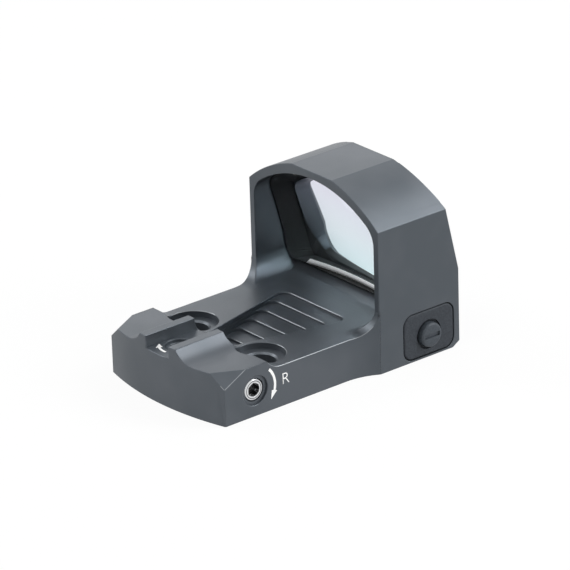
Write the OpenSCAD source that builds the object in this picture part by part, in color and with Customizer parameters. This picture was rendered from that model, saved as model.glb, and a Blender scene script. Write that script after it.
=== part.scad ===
// Compact open reflex sight for a two-screw mount, as an assembly.
// X runs across, Y runs forward through the window, Z is up.
// The origin is on the mounting face, under the middle of the housing.

/* [Housing] */
// Length from the middle of the rear face to the front face
total_len = 41.4; // [40.6:0.1:46]
// Width of the base
base_w = 24; // [23.6:0.1:26]
// How far the rear face bulges at its middle
rear_bulge = 1.7; // [1:0.1:2.4]
// Height of the deck between the rear block and the hood
deck_h = 5.9; // [5.8:0.05:6.4]
// Height of the two shoulders of the rear block
shoulder_h = 7.2; // [7:0.05:8]
// Height of the two ears beside the sighting notch
ear_h = 8.95; // [8.6:0.05:10]
// Distance from the middle plane to where a shoulder turns flat
shoulder_x = 6.9; // [6.6:0.1:7.8]
// Radius of the scallop between an ear and its shoulder
scallop_r = 3.8; // [3.4:0.1:4.6]
// Width of the sighting notch
notch_w = 4.8; // [4.6:0.1:5.4]
// Height of the floor of the sighting notch
notch_floor_h = 7.15; // [7.1:0.05:7.6]
// Distance from the rear corners to the foot of the rear block
block_len = 9.7; // [9.5:0.1:10.4]
// Radius of the concave front of the rear block
block_r = 2.92; // [2.6:0.05:3.2]
// Length of a corner facet along the side
facet_len = 3.65; // [3:0.05:4.4]
// Width of a corner facet along the rear face
facet_w = 1.95; // [1.4:0.05:2.6]
// Drop of a corner facet
facet_drop = 1.9; // [1.2:0.05:2.4]

/* [Hood] */
// Width across the hood
hood_w = 26.8; // [26.4:0.1:29]
// Length of the hood along the line of sight
hood_len = 14.1; // [13.8:0.1:15]
// Height of the flat top of the hood
hood_h = 25.3; // [25:0.1:28]
// Height of the sharp side corners of the hood
hood_corner_h = 20.55; // [20:0.05:21]
// Width of the flat top of the hood
hood_flat_w = 8.3; // [7:0.1:10]
// How far the two brows of the hood arch out
brow_sag = 0.6; // [0.3:0.05:1]
// Height at which the front face starts to lean back
lean_h = 11.4; // [10:0.1:13]
// Lean of the upper front face
lean_deg = 12.75; // [10:0.25:14]
// Thickness of the side walls of the hood
hood_wall = 1; // [0.8:0.05:1.3]
// Thickness of the roof of the hood at its middle
roof_wall = 1.1; // [0.9:0.05:1.5]
// Height of the middles of the inner top corners of the hood
corner_z = 18.1; // [17.7:0.1:18.4]
// Radius of the inner corners of the hood
inner_r = 3.3; // [2.8:0.1:3.8]
// Radius of the fillet from the deck up to the hood
deck_fillet_r = 3.3; // [2.6:0.1:3.8]
// Radius of the flares from the base out to the hood
flare_r = 8.9; // [7:0.1:10]
// Height of the sill under the window
sill_h = 7.2; // [7.1:0.05:7.8]
// Radius of the ramp from the deck up to the sill
ramp_r = 12; // [10:0.5:16]
// Length of the chamfer under the front face
nose_len = 1.1; // [0.6:0.05:1.4]
// Height of the chamfer under the front face
nose_rise = 0.65; // [0.4:0.05:1]

/* [Lens] */
// Radius of the rear surface of the lens
lens_r = 47; // [44:0.5:52]
// Lean of the lens towards the user
lens_tilt = 16; // [14:0.5:18]
// Height of the point that sets the lens
lens_z = 15.5; // [14:0.1:17]
// Distance of that point behind the front face
lens_back = 8.6; // [8.3:0.1:9]
// Thickness of the rear lens element
rear_glass_t = 2.4; // [1.8:0.1:2.6]
// Thickness of the front lens element
front_glass_t = 2.2; // [1.6:0.1:2.4]
// Thickness of the black sealant round the lens
seal_t = 0.2; // [0.1:0.05:0.35]
// Width of the lip in front of the lens
lip_w = 0.45; // [0.3:0.05:0.8]

/* [Light pocket] */
// Number of anti-glare steps
step_count = 7; // [5:1:8]
// Distance from one step to the next
step_pitch = 2.56; // [2.3:0.02:2.6]
// Depth of the pocket at the emitter
pocket_depth = 2.5; // [2.1:0.05:2.6]
// Width of the pocket at the first step
pocket_w = 6; // [5.8:0.1:6.8]
// Angle at which each side of the pocket opens out
fan_deg = 13.9; // [11:0.1:15]
// Distance from the foot of the rear block to the first step
first_step = 0.6; // [0.5:0.05:1]
// Radius of the step corners
step_r = 1.2; // [0.8:0.1:1.6]

/* [Mounting] */
// Distance between the two mounting screws
mount_spacing = 14.2; // [14:0.1:14.8]
// Distance of the mounting screws from the rear corners
mount_from_rear = 10.1; // [9.9:0.1:10.6]
// Diameter of the mounting holes
mount_hole_d = 4.3; // [3.8:0.1:4.4]
// Diameter of the mounting counterbores
counterbore_d = 7; // [6.6:0.1:7.2]
// Depth of the mounting counterbores below the deck
counterbore_depth = 0.9; // [0.6:0.05:1.2]
// Chamfer at the mouth of each mounting hole
hole_chamfer = 0.25; // [0.15:0.05:0.35]

/* [Adjusters] */
// Diameter of the adjusting screw heads
head_d = 3.2; // [3:0.05:3.3]
// Length of the adjusting screw heads
head_len = 1.05; // [0.9:0.05:1.1]
// Width across flats of the hex sockets
hex_af = 1.75; // [1.5:0.05:1.85]
// Depth of the hex sockets
hex_depth = 0.8; // [0.5:0.05:0.85]
// Thread diameter of the adjusting screws
thread_d = 1.6; // [1.4:0.05:1.7]
// Diameter of the recess round each adjusting screw
recess_d = 4.2; // [4:0.05:4.4]
// Depth of the recess round each adjusting screw
recess_depth = 0.35; // [0.25:0.05:0.5]
// Height of the windage screw
windage_z = 3.65; // [3.55:0.05:3.75]
// Distance of the windage screw from the rear corners
windage_from_rear = 5.2; // [5.1:0.05:5.3]
// Distance of the elevation screw from the rear corners
elevation_from_rear = 2.3; // [2.2:0.05:2.4]
// Travel of each adjuster either way
adjust_travel = 0.35; // [0.2:0.05:0.4]
// Width of the emitter chamber
chamber_w = 8.2; // [8:0.1:8.4]
// Height of the ceiling of the emitter chamber
chamber_top = 4.9; // [4.8:0.05:5]
// Section of the O-rings on the adjusting screws
oring_d = 0.5; // [0.4:0.02:0.54]
// Thickness of the retaining clips
clip_t = 0.2; // [0.15:0.01:0.25]
// Diameter of the retaining clips
clip_d = 2.2; // [2:0.05:2.3]
// Wire diameter of the take-up springs
wire_d = 0.24; // [0.18:0.01:0.28]
// Diameter of the coils of the take-up springs
coil_d = 2.2; // [2.15:0.01:2.25]

/* [Power] */
// Diameter of the coin cell
cell_d = 16; // [15.6:0.1:16.2]
// Thickness of the coin cell
cell_t = 2; // [1.8:0.05:2.1]
// Clearance round the coin cell
cell_gap = 0.3; // [0.25:0.05:0.4]
// Distance of the battery bay behind the front face
bay_back = 10.6; // [10.5:0.1:10.9]
// Height of the ceiling of the battery bay
bay_top = 4.3; // [4.25:0.05:4.4]
// Diameter of the battery cap
cap_d = 17.4; // [17.2:0.1:17.6]
// Thickness of the battery cap
cap_t = 1.5; // [1.4:0.05:1.55]
// Section of the battery cap O-ring
cap_oring_d = 0.5; // [0.4:0.02:0.54]
// Width of the coin slot
slot_w = 1.6; // [1.2:0.1:2]
// Length of the coin slot
slot_len = 10; // [8:0.5:12]
// Depth of the coin slot
slot_depth = 0.6; // [0.4:0.05:0.7]
// Thickness of the circuit board
board_t = 0.8; // [0.6:0.05:1]
// Width of the circuit board along the line of sight
board_w = 5.4; // [5:0.1:5.6]

/* [Buttons] */
// Width of a button pad along the line of sight
pad_w = 8.8; // [8.4:0.1:9]
// Height of a button pad
pad_h = 6.5; // [6.3:0.05:6.6]
// Corner radius of a button pad
pad_r = 1.5; // [1:0.1:2]
// Thickness of a button pad
pad_t = 1.15; // [1:0.05:1.2]
// Distance of the pad centres behind the front face
pad_back = 5.45; // [5.4:0.05:5.6]
// Height of the pad centres
pad_z = 3.6; // [3.55:0.05:3.7]
// Height of the key centres
key_z = 3.3; // [3.25:0.05:3.35]
// Diameter of the keys
key_d = 3.5; // [3.2:0.1:4]
// How far the keys stand out of the pads
key_proud = 0.7; // [0.5:0.05:1]
// Depth of the moat round each key
moat_depth = 0.35; // [0.2:0.05:0.45]
// Width of the moat round each key
moat_w = 0.35; // [0.2:0.05:0.5]
// Travel of the keys
key_travel = 0.3; // [0.2:0.05:0.35]
// Depth of the plus and minus cut in the keys
mark_depth = 0.2; // [0.1:0.05:0.25]
// Width of the plus and minus cut in the keys
mark_w = 0.6; // [0.4:0.05:0.7]
// Distance of the plus and minus from the edge of the key
mark_margin = 0.45; // [0.4:0.05:0.6]

/* [Cover] */
// Thickness of the cover under the emitter
cover_t = 0.75; // [0.7:0.05:0.8]
// Thickness of the cover gasket
gasket_t = 0.15; // [0.1:0.01:0.2]
// Width of the cover at its screws
cover_w = 14.6; // [14.4:0.1:15]
// Width of the tongue of the cover over the flex channel
tongue_w = 5.2; // [5:0.1:5.6]
// Head diameter of the cover screws
cover_head_d = 2.3; // [2.1:0.05:2.4]
// Thread diameter of the cover screws
cover_thread_d = 1.4; // [1.2:0.05:1.4]
// Length of the cover screws
cover_screw_len = 2.4; // [2:0.05:2.5]

/* [Fits] */
// Radial clearance of a turning or sliding fit
run_gap = 0.04; // [0.02:0.01:0.06]
// Clearance of a part that lies in a recess
lie_gap = 0.1; // [0.05:0.01:0.12]

/* [Hidden] */
$fn = 64;
eps = 0.01;
// How far a cut runs out of what it cuts
beam_room = 5;
beam_rise = 3;
over = 1;
// Places along the line of sight
front_y = total_len / 2;
rear_y = -front_y;
corner_y = rear_y + rear_bulge;
hood_y = front_y - hood_len;
foot_y = corner_y + block_len;
mount_y = corner_y + mount_from_rear;
windage_y = corner_y + windage_from_rear;
elevation_y = corner_y + elevation_from_rear;
bay_y = front_y - bay_back;
pad_y = front_y - pad_back;
// Housing curves
rear_r = (pow(base_w / 2, 2) + pow(rear_bulge, 2)) / (2 * rear_bulge);
flare_out = (hood_w - base_w) / 2;
flare_y = hood_y - sqrt(pow(flare_r, 2) - pow(flare_r - flare_out, 2));
sky = hood_h + 1;
brow_dx = (hood_w - hood_flat_w) / 2;
brow_dz = hood_h - hood_corner_h;
brow_chord = sqrt(pow(brow_dx, 2) + pow(brow_dz, 2));
brow_r = (pow(brow_chord / 2, 2) + pow(brow_sag, 2)) / (2 * brow_sag);
brow_x = (hood_w + hood_flat_w) / 4 - (brow_r - brow_sag) * brow_dz / brow_chord;
brow_z = (hood_h + hood_corner_h) / 2 - (brow_r - brow_sag) * brow_dx / brow_chord;
// Window and lens
window_x = hood_w / 2 - hood_wall;
corner_x = window_x - inner_r;
arch_top = hood_h - roof_wall;
arch_rise = arch_top - corner_z;
arch_r = (pow(corner_x, 2) + pow(arch_rise, 2) - pow(inner_r, 2)) / (2 * (arch_rise - inner_r));
arch_z = arch_top - arch_r;
lens_y = front_y - lens_back - lens_r * cos(lens_tilt);
lens_centre_z = lens_z - lens_r * sin(lens_tilt);
cement_r = lens_r + rear_glass_t;
lens_front_r = cement_r + front_glass_t;
seal_rear_r = sqrt(pow(lens_r, 2) - pow(window_x, 2));
ramp_rise = sill_h - deck_h;
sill_y = lens_y + sqrt(pow(lens_r, 2) - pow(sill_h - lens_centre_z, 2));
ramp_y = sill_y - sqrt(pow(ramp_r, 2) - pow(ramp_r - ramp_rise, 2));
// Light pocket
first_y = foot_y + first_step;
step_rise = pocket_depth / step_count;
mouth_len = 2.2;
pocket_back_y = first_y - mouth_len;
pocket_clear = 0.8;
ledge_w = 0.04;
// Emitter chamber and the pieces in it
cover_top = cover_t + gasket_t;
chamber_back_y = corner_y + 0.7;
chamber_front_y = pocket_back_y + 0.7;
channel_w = 3.2;
channel_top = 2.4;
channel_floor = 1.2;
shaft_r = thread_d / 2;
shaft_bore_r = shaft_r + run_gap;
head_bore_r = head_d / 2 + run_gap;
gland_r = shaft_r + oring_d + 2 * run_gap;
gland_len = oring_d + 2 * run_gap;
head_bore_len = recess_depth + head_len;
thread_core_r = 0.55;
slider_h = 2.05;
slider_z = (cover_top + chamber_top) / 2 - 0.75;
slider_gap = lie_gap;
nut_w = 3;
nut_x = -0.9;
nut_back_y = windage_y - 0.92;
nut_tongue_h = 0.85;
nut_front_y = windage_y + 0.83;
plate_back_y = nut_front_y + lie_gap;
plate_t = 0.7;
plate_front_y = plate_back_y + plate_t;
rib_t = 0.4;
rib_h = 0.65;
rib_z = slider_z + 0.7;
tongue_x = 0.1;
nut_tongue_w = 1;
nut_tongue_len = 0.55;
arm_w = 1.4;
slider_back_y = chamber_back_y + slider_gap;
slider_mid_y = elevation_y + 1.55;
slider_left_x = slider_gap - chamber_w / 2;
slider_right_x = 1.9;
rib_room_y = plate_front_y + rib_t + lie_gap;
holder_w = 5.2;
holder_room = holder_w / 2 + adjust_travel + lie_gap;
holder_z = slider_z - 0.2;
holder_h = 2.45;
holder_back_y = plate_front_y + 0.05;
holder_front_y = pocket_back_y - 0.05;
led_deg = 28;
led_w = 1.2;
led_h = 0.7;
led_t = 0.35;
led_z = windage_z + 0.25;
pinhole_d = 0.2;
mask_t = 0.08;
// Battery bay, board and contacts
bay_r = cell_d / 2 + cell_gap;
mouth_r = cap_d / 2 + 0.05;
mouth_h = cap_t + 0.2;
cap_z = 0.05;
cell_z = cap_z + cap_t + 0.05;
cell_top = cell_z + cell_t;
groove_r = cap_d / 2 - cap_oring_d + run_gap / 2;
groove_h = cap_oring_d + 0.2;
groove_z = cap_z + cap_t / 2;
board_z = bay_top + 0.05;
board_room = 0.95;
board_gap = 0.15;
board_y = pad_y + 0.1;
recess_x = hood_w / 2 - pad_t - lie_gap;
board_len = 2 * (recess_x - 1);
contact_t = 0.15;
contact_w = 2;
contact_x = 2;
contact_reach = 3.2;
flex_t = 0.15;
flex_w = 2.4;
chip_w = 3;
chip_t = 0.6;
// Buttons
switch_w = 3.6;
switch_len = 2;
switch_h = 2.1;
switch_x = recess_x - 0.8 - switch_len;
flange_t = 0.3;
flange_r = key_d / 2 + 0.5;
key_back_x = recess_x + 0.1 + key_travel;
plunger_r = 0.7;
pocket_w2 = 4.8;
// Cover
cover_back_y = corner_y + 0.1;
cover_past_windage = 1.95;
cover_front_y = windage_y + cover_past_windage;
cover_to_cap = 1.9;
cover_tongue_y = bay_y - mouth_r - cover_to_cap;
cover_r = 1.2;
cover_socket_d = 0.9;
cover_socket_depth = 0.25;
cover_screw_edge = 1.5;
cover_screw_x = cover_w / 2 - cover_screw_edge;
cover_rest = 0.9;
opening_y = cover_front_y - cover_rest;
cover_screw_back = 1.6;
cover_screw_front = 0.6;
cover_screw_ys = [cover_back_y + cover_screw_back, windage_y + cover_screw_front];
cover_head_h = 0.4;

// ---- helpers ----

// A drawing of X against Z, drawn out forward from y0
module along_y(y0, len) {
    translate([0, y0 + len, 0]) rotate([90, 0, 0]) linear_extrude(len) children();
}

// A drawing of Y against Z, drawn out to the right from x0
module along_x(x0, len) {
    translate([x0, 0, 0]) rotate([90, 0, 90]) linear_extrude(len) children();
}

// A box from its low corner to its high corner
module block(low, high) {
    translate(low) cube(high - low);
}

module rounded_rect(w, h, r) {
    square([w - 2 * r, h], center = true);
    square([w, h - 2 * r], center = true);
    for (x = [-1, 1], y = [-1, 1])
        translate([x * (w / 2 - r), y * (h / 2 - r)]) circle(r);
}

// A round bar along +X from x0
module bar_x(x0, len, r, y, z) {
    translate([x0, y, z]) rotate([0, 90, 0]) cylinder(r = r, h = len);
}

module on_side(side) {
    if (side > 0) children();
    else mirror([1, 0, 0]) children();
}

// One wire coil spring, standing on z = 0
function coil_point(turn, height, turns, r, a, wr) =
    let (spin = 360 * turn, lift = height * turn / turns)
    [(r + wr * cos(a)) * cos(spin), (r + wr * cos(a)) * sin(spin), wr + lift + wr * sin(a)];

module coil(height, turns, r, wr) {
    rings = 20 * turns;
    sides = 8;
    rise = height - 2 * wr;
    points = [for (i = [0:rings], k = [0:sides - 1])
        coil_point(i / 20, rise, turns, r, 360 * k / sides, wr)];
    walls = [for (i = [0:rings - 1], k = [0:sides - 1])
        let (n = (k + 1) % sides)
        [i * sides + k, i * sides + n, (i + 1) * sides + n, (i + 1) * sides + k]];
    start = [for (k = [0:sides - 1]) sides - 1 - k];
    finish = [for (k = [0:sides - 1]) rings * sides + k];
    polyhedron(points, concat(walls, [start, finish]), convexity = 8);
}

// ---- housing ----

module base_plan() {
    intersection() {
        translate([0, rear_y + rear_r]) circle(rear_r, $fn = 192);
        translate([-base_w / 2, rear_y - 1]) square([base_w, hood_y - rear_y + 2]);
    }
}

module flare_plan() {
    difference() {
        translate([-hood_w / 2, flare_y]) square([hood_w, hood_y - flare_y + 1]);
        for (s = [-1, 1])
            translate([s * (base_w / 2 + flare_r), flare_y]) circle(flare_r, $fn = 128);
    }
}

module hood_section() {
    for (s = [0, 1]) mirror([s, 0, 0])
        intersection() {
            translate([-1, 0]) square([hood_w / 2 + 1, hood_h]);
            translate([brow_x, brow_z]) circle(brow_r, $fn = 192);
        }
}

// The see-through outline below the arch, drawn in from its full size by the inset
module window_body(floor_z, inset) {
    r = inner_r - inset;
    side_x = window_x - inset;
    low_z = floor_z + inset + r;
    polygon([[-corner_x, floor_z + inset], [corner_x, floor_z + inset], [side_x, low_z],
        [side_x, corner_z], [-side_x, corner_z], [-side_x, low_z]]);
    for (s = [-1, 1], z = [low_z, corner_z]) translate([s * corner_x, z]) circle(r);
}

// The arch over it, between lines from its centre through the middles of the two corners
module window_arch(inset) {
    reach = 2 * arch_r / (arch_r - inner_r);
    wide = corner_x * reach;
    high = arch_z + (corner_z - arch_z) * reach;
    low = corner_z - inner_r;
    intersection() {
        translate([0, arch_z]) circle(arch_r - inset, $fn = 192);
        polygon([[-corner_x, low], [corner_x, low], [corner_x, corner_z], [wide, high],
            [0, high + arch_r], [-wide, high], [-corner_x, corner_z]]);
    }
}

module deck_cut() {
    along_x(-hood_w, 2 * hood_w) {
        translate([foot_y, deck_h])
            square([hood_y - deck_fillet_r - foot_y, sky]);
        translate([foot_y - block_r, deck_h + block_r])
            square([hood_y - foot_y + block_r, sky]);
        translate([hood_y - deck_fillet_r, deck_h + deck_fillet_r])
            square([deck_fillet_r, sky]);
        translate([foot_y, deck_h + block_r]) circle(block_r);
        translate([hood_y - deck_fillet_r, deck_h + deck_fillet_r]) circle(deck_fillet_r);
    }
}

module shoulder_cuts() {
    for (s = [0, 1]) mirror([s, 0, 0])
        along_y(rear_y - 1, foot_y - rear_y + 1) {
            translate([shoulder_x, shoulder_h]) square([base_w, sky]);
            translate([shoulder_x, shoulder_h + scallop_r]) circle(scallop_r);
        }
    block([-notch_w / 2, rear_y - 1, notch_floor_h], [notch_w / 2, foot_y, sky]);
}

// The facets that take off the two rear top corners
module facet_cuts() {
    lean = [1 / facet_w, -1 / facet_len, 1 / facet_drop];
    for (s = [0, 1]) mirror([s, 0, 0])
        translate([base_w / 2, corner_y, shoulder_h - facet_drop])
            rotate([0, acos(lean.z / norm(lean)), atan2(lean.y, lean.x)])
                translate([-10, -10, 0]) cube([20, 20, 6]);
}

module front_cuts() {
    lean_top = front_y - tan(lean_deg) * (sky - lean_h);
    along_x(-hood_w, 2 * hood_w) {
        polygon([[front_y, lean_h], [front_y + 1, lean_h], [front_y + 1, sky], [lean_top, sky]]);
        polygon([[front_y - nose_len, 0], [front_y, nose_rise], [front_y + 1, nose_rise],
            [front_y + 1, -1], [front_y - nose_len, -1]]);
    }
}

module ramp() {
    along_x(-hood_w, 2 * hood_w) difference() {
        translate([ramp_y, 0]) square([front_y - ramp_y, sill_h]);
        translate([ramp_y, deck_h + ramp_r]) circle(ramp_r, $fn = 128);
    }
}

module lens_ball(r) {
    translate([0, lens_y, lens_centre_z]) sphere(r, $fn = 128);
}

// A drawing of the window, drawn out right through the hood
module through_hood() {
    along_y(flare_y - 1, front_y - flare_y + 2) children();
}

// A slab square to the lens axis, between two distances from the centre of its sphere
module lens_axis_slab(near, far) {
    translate([0, lens_y, lens_centre_z]) rotate([lens_tilt, 0, 0])
        translate([-hood_w, near, -hood_h]) cube([2 * hood_w, far - near, 2 * hood_h]);
}

module window_cuts() {
    difference() {
        through_hood() {
            window_body(deck_h, 0);
            window_arch(0);
        }
        ramp();
        lens_axis_slab(lens_front_r, 2 * lens_front_r);
    }
    through_hood() {
        window_body(sill_h, lip_w);
        window_arch(lip_w);
    }
}

// Half width of one level of the stepped pocket, where each lower level is a ledge narrower
function pocket_x(y, level) =
    pocket_w / 2 + (y - first_y) * tan(fan_deg) - ledge_w * (step_count - 1 - level);

// Plan of one level, out to its own step with a rounded corner at each end
module pocket_plan(level) {
    y = first_y + level * step_pitch - step_r;
    x = pocket_x(y, level) - step_r / cos(fan_deg);
    back_x = pocket_x(pocket_back_y, level);
    bends = 6;
    corner = [for (i = [0:bends])
        let (a = i * (90 + fan_deg) / bends - fan_deg) [x + step_r * cos(a), y + step_r * sin(a)]];
    far_corner = [for (i = [0:bends]) [-corner[bends - i].x, corner[bends - i].y]];
    polygon(concat([[-back_x, pocket_back_y], [back_x, pocket_back_y]], corner, far_corner));
}

module pocket_cuts() {
    for (k = [0:step_count - 1]) {
        depth = step_rise * (step_count - k);
        translate([0, 0, deck_h - depth]) linear_extrude(depth + pocket_clear) pocket_plan(k);
    }
}

module mount_cuts() {
    seat_z = deck_h - counterbore_depth;
    for (s = [-1, 1]) translate([s * mount_spacing / 2, mount_y, 0]) {
        translate([0, 0, -1]) cylinder(d = mount_hole_d, h = sky);
        translate([0, 0, seat_z]) cylinder(d = counterbore_d, h = sky);
        translate([0, 0, seat_z - hole_chamfer])
            cylinder(d1 = mount_hole_d, d2 = mount_hole_d + 2 * hole_chamfer, h = hole_chamfer);
    }
}

// The bore for one adjusting screw, with its mouth on z = 0 and the screw pointing down
module adjuster_bore(depth) {
    translate([0, 0, -recess_depth]) cylinder(d = recess_d, h = 10);
    translate([0, 0, -head_bore_len]) cylinder(r = head_bore_r, h = 10);
    translate([0, 0, -head_bore_len - gland_len]) cylinder(r = gland_r, h = gland_len + eps);
    translate([0, 0, -depth]) cylinder(r = shaft_bore_r, h = depth);
}

module adjuster_cuts() {
    translate([base_w / 2, windage_y, windage_z]) rotate([0, 90, 0])
        adjuster_bore(base_w / 2 - chamber_w / 2 + 0.2);
    intersection() {
        translate([0, elevation_y, notch_floor_h]) adjuster_bore(notch_floor_h - chamber_top + 0.2);
        block([-notch_w / 2, rear_y, 0], [notch_w / 2, foot_y, sky]);
    }
    block([-chamber_w / 2, chamber_back_y, -1], [chamber_w / 2, opening_y, chamber_top]);
    block([-chamber_w / 2, opening_y - 1, channel_floor], [chamber_w / 2, rib_room_y, chamber_top]);
    block([-holder_room, rib_room_y - 1, channel_floor], [holder_room, chamber_front_y, chamber_top]);
    block([-channel_w / 2, chamber_back_y, -1], [channel_w / 2, cover_tongue_y, channel_top]);
    block([-channel_w / 2, cover_tongue_y - 1, channel_floor], [channel_w / 2, bay_y, channel_top]);
}

module cover_plan(inset) {
    depth = cover_front_y - cover_back_y;
    translate([0, cover_back_y + depth / 2])
        rounded_rect(cover_w - 2 * inset, depth - 2 * inset, cover_r - inset);
    translate([inset - tongue_w / 2, cover_front_y - cover_r])
        square([tongue_w - 2 * inset, cover_tongue_y + 0.6 - inset - cover_front_y + cover_r]);
}

module cover_cuts() {
    translate([0, 0, -1]) linear_extrude(1 + cover_top) cover_plan(0);
    for (s = [-1, 1], y = cover_screw_ys) translate([s * cover_screw_x, y, 0])
        cylinder(d = cover_thread_d, h = cover_screw_len + 0.1);
}

module bay_cuts() {
    translate([0, bay_y, -1]) cylinder(r = bay_r, h = 1 + bay_top, $fn = 128);
    translate([0, bay_y, -1]) cylinder(r = mouth_r, h = 1 + mouth_h, $fn = 128);
    block([-channel_w / 2, bay_y - bay_r - 0.8, mouth_h + 0.05], [channel_w / 2, bay_y, bay_top]);
    room = board_w / 2 + board_gap;
    block([-recess_x - 0.4, board_y - room, bay_top],
        [recess_x + 0.4, board_y + room, board_z + board_t + board_room]);
}

module button_cuts() {
    for (s = [0, 1]) mirror([s, 0, 0]) {
        translate([recess_x, pad_y, pad_z]) rotate([90, 0, 90]) linear_extrude(10)
            rounded_rect(pad_w + 2 * lie_gap, pad_h + 2 * lie_gap, pad_r + lie_gap);
        block([switch_x - 0.2, pad_y - pocket_w2 / 2, key_z - switch_h / 2 - 0.2],
            [recess_x + 1, pad_y + pocket_w2 / 2, board_z + board_t]);
    }
}

module housing() {
    color("#4b4f54") difference() {
        union() {
            linear_extrude(ear_h) base_plan();
            linear_extrude(deck_h + deck_fillet_r) flare_plan();
            along_y(hood_y, hood_len) hood_section();
        }
        deck_cut();
        shoulder_cuts();
        facet_cuts();
        front_cuts();
        window_cuts();
        pocket_cuts();
        mount_cuts();
        adjuster_cuts();
        cover_cuts();
        bay_cuts();
        button_cuts();
    }
}

// ---- lens ----

module below_sill(gap) {
    block([-hood_w, flare_y, 0], [hood_w, front_y, sill_h + gap]);
}

// The part of a drawing of the window that lies between the two faces of the rear element
module rear_shell() {
    difference() {
        intersection() {
            through_hood() children();
            lens_ball(cement_r);
        }
        lens_ball(lens_r);
    }
}

module lens_rear_element() {
    color("#cfe6ea") difference() {
        union() {
            rear_shell() window_body(deck_h, seal_t);
            rear_shell() window_arch(seal_t);
        }
        below_sill(seal_t);
    }
}

// The same for the front element, which is ground flat where it bears on the lip
module front_shell() {
    difference() {
        intersection() {
            through_hood() children();
            lens_axis_slab(cement_r / 2, lens_front_r - eps);
        }
        lens_ball(cement_r);
    }
}

module lens_front_element() {
    color("#d9d7ea") difference() {
        union() {
            front_shell() window_body(deck_h, seal_t);
            front_shell() window_arch(seal_t);
        }
        below_sill(seal_t);
    }
}

module lens_seal() {
    color("#101214") difference() {
        intersection() {
            through_hood() {
                window_body(deck_h, 0);
                window_arch(0);
            }
            lens_axis_slab(seal_rear_r, lens_front_r);
        }
        difference() {
            through_hood() {
                window_body(deck_h, seal_t);
                window_arch(seal_t);
            }
            below_sill(seal_t);
        }
        below_sill(0);
    }
}

// ---- adjusters ----

// An adjusting screw, with the mouth of its bore on z = 0 and the screw pointing down
module adjuster_screw(len, clip_at) {
    difference() {
        union() {
            translate([0, 0, -head_bore_len]) cylinder(d = head_d, h = head_len - 0.2);
            translate([0, 0, -recess_depth - 0.2]) cylinder(d1 = head_d, d2 = head_d - 0.4, h = 0.2);
            translate([0, 0, -clip_at]) cylinder(r = shaft_r, h = clip_at - head_bore_len + eps);
            translate([0, 0, -clip_at - clip_t - eps]) cylinder(r = thread_core_r, h = clip_t + 2 * eps);
            translate([0, 0, -len]) cylinder(r = shaft_r, h = len - clip_at - clip_t);
        }
        translate([0, 0, -recess_depth - hex_depth])
            cylinder(d = hex_af / cos(30), h = 2, $fn = 6);
    }
}

module adjuster_clip(clip_at) {
    translate([0, 0, -clip_at - clip_t + 0.01]) difference() {
        cylinder(d = clip_d, h = clip_t - 0.02);
        translate([0, 0, -1]) cylinder(r = thread_core_r + 0.02, h = 2);
        translate([0, -thread_core_r * 0.8, -1]) cube([clip_d, thread_core_r * 1.6, 2]);
    }
}

module adjuster_oring() {
    translate([0, 0, -head_bore_len - gland_len / 2]) rotate_extrude()
        translate([shaft_r + run_gap + oring_d / 2, 0]) circle(d = oring_d, $fn = 32);
}

module at_windage() {
    translate([base_w / 2, windage_y, windage_z]) rotate([0, 90, 0]) children();
}

module at_elevation() {
    translate([0, elevation_y, notch_floor_h]) children();
}

windage_clip_at = base_w / 2 - chamber_w / 2 + 0.03;
elevation_clip_at = notch_floor_h - chamber_top + 0.03;

module windage_screw() {
    color("#b9bcc0") at_windage() adjuster_screw(base_w / 2 - nut_x + 0.4, windage_clip_at);
}

module windage_clip() {
    color("#8d9094") at_windage() adjuster_clip(windage_clip_at);
}

module windage_oring() {
    color("#17181a") at_windage() adjuster_oring();
}

module windage_nut() {
    low_z = cover_top + lie_gap;
    high_z = chamber_top - lie_gap;
    tongue_low = windage_z - 0.4;
    color("#c2a15a") difference() {
        union() {
            block([nut_x, nut_back_y, low_z], [nut_x + nut_w, nut_front_y, high_z]);
            block([tongue_x, nut_front_y - eps, tongue_low],
                [tongue_x + nut_tongue_w, plate_front_y + nut_tongue_len, tongue_low + nut_tongue_h]);
        }
        bar_x(nut_x - over, nut_w + 2 * over, shaft_bore_r, windage_y, windage_z);
    }
}

module windage_spring() {
    start_x = nut_x + nut_w + 0.05;
    end_x = chamber_w / 2 - 0.03 - clip_t - 0.05;
    color("#c7c9cc") translate([start_x, windage_y, windage_z]) rotate([0, 90, 0])
        coil(end_x - start_x, 4, coil_d / 2 - wire_d / 2, wire_d / 2);
}

module elevation_screw() {
    color("#b9bcc0") at_elevation() adjuster_screw(notch_floor_h - cover_top - 0.2, elevation_clip_at);
}

module elevation_clip() {
    color("#8d9094") at_elevation() adjuster_clip(elevation_clip_at);
}

module elevation_oring() {
    color("#17181a") at_elevation() adjuster_oring();
}

module elevation_slider() {
    top_z = slider_z + slider_h;
    gap_x = adjust_travel + lie_gap;
    arm_x = slider_left_x + arm_w;
    color("#9a9da1") difference() {
        union() {
            block([slider_left_x, slider_back_y, slider_z], [slider_right_x, slider_mid_y, top_z]);
            block([slider_left_x, slider_back_y, slider_z], [arm_x, plate_front_y, top_z]);
            block([slider_left_x, plate_back_y, slider_z], [slider_right_x, plate_front_y, top_z]);
            block([slider_left_x, plate_front_y - eps, rib_z],
                [-slider_left_x, plate_front_y + rib_t, rib_z + rib_h]);
        }
        translate([0, elevation_y, 0]) cylinder(r = shaft_bore_r, h = sky);
        block([tongue_x - gap_x, plate_back_y - 0.1, windage_z - 0.4 - gap_x],
            [tongue_x + nut_tongue_w + gap_x, holder_front_y, sky]);
    }
}

module elevation_spring() {
    color("#c7c9cc") translate([0, elevation_y, cover_top + 0.05])
        coil(slider_z - cover_top - 0.1, 3, coil_d / 2 - wire_d / 2, wire_d / 2);
}

// ---- emitter ----

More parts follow.
